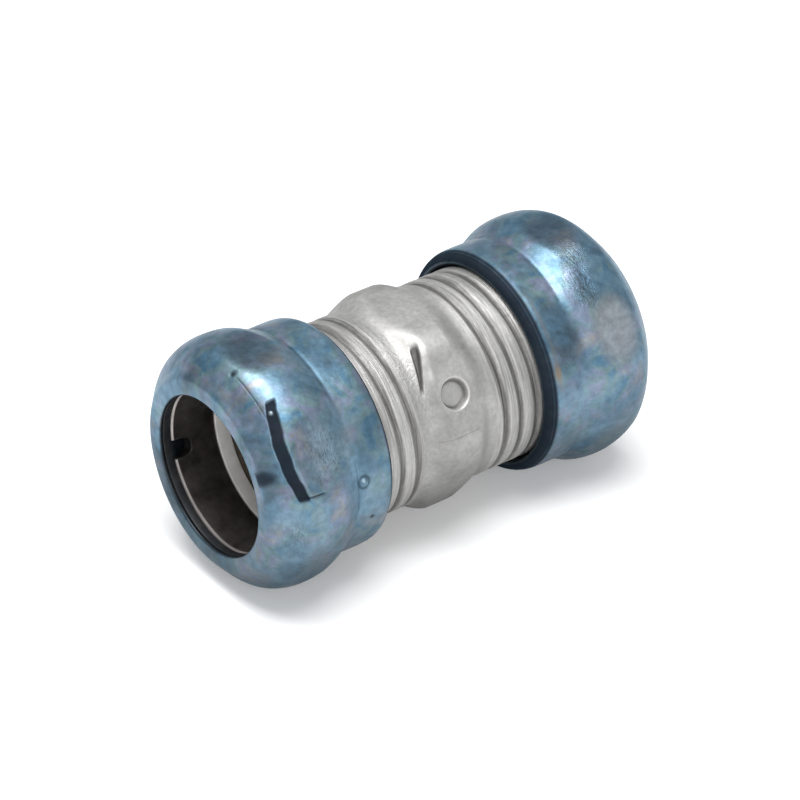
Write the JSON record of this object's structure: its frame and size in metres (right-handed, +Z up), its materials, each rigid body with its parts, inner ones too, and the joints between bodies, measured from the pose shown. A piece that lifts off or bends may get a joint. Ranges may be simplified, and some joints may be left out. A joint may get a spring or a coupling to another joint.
{
  "type": "conduit compression coupling",
  "caption": "Steel conduit coupling: a threaded body with a hexagonal waist between gland nuts that close split rings and seals onto thin-wall conduit.",
  "frame": {"origin": "centre of the coupling body, on the conduit axis", "axes": "+X along the conduit axis, +Z up out of a wrench flat"},
  "size_m": [0.0516, 0.0286, 0.0276],
  "materials": {
    "zinc_steel": "satin",
    "blue_zinc": "satin",
    "dark_steel": "satin",
    "white_nylon": "matte",
    "black_rubber": "matte"
  },
  "bodies": {
    "coupling_body": {"coupling_body": "zinc_steel"},
    "ring_set_left": {"compression_ring_left": "dark_steel", "sealing_ring_left": "white_nylon"},
    "nut_left": {"gland_nut_left": "blue_zinc", "mouth_seal_left": "black_rubber"},
    "ring_set_right": {"compression_ring_right": "dark_steel", "sealing_ring_right": "white_nylon"},
    "nut_right": {"gland_nut_right": "blue_zinc", "mouth_seal_right": "black_rubber"}
  },
  "joints": [
    {"name": "nut_travel_left", "type": "slide", "parent": "coupling_body", "child": "ring_set_left", "axis": [-1, 0, 0], "range_m": [-0.00123, 0.00706]},
    {"name": "nut_turn_left", "type": "hinge", "parent": "ring_set_left", "child": "nut_left", "pos_m": [-0.01758, 0, 0], "axis": [-1, 0, 0], "range_deg": [-211, 1201]},
    {"name": "nut_travel_right", "type": "slide", "parent": "coupling_body", "child": "ring_set_right", "axis": [1, 0, 0], "range_m": [-0.00212, 0.00609]},
    {"name": "nut_turn_right", "type": "hinge", "parent": "ring_set_right", "child": "nut_right", "pos_m": [0.01853, 0, 0], "axis": [1, 0, 0], "range_deg": [-361, 1036]}
  ],
  "couplings": [
    {"joint": "nut_turn_left", "follows": "nut_travel_left", "rad_per_m": 2968.4},
    {"joint": "nut_turn_right", "follows": "nut_travel_right", "rad_per_m": 2968.4}
  ]
}
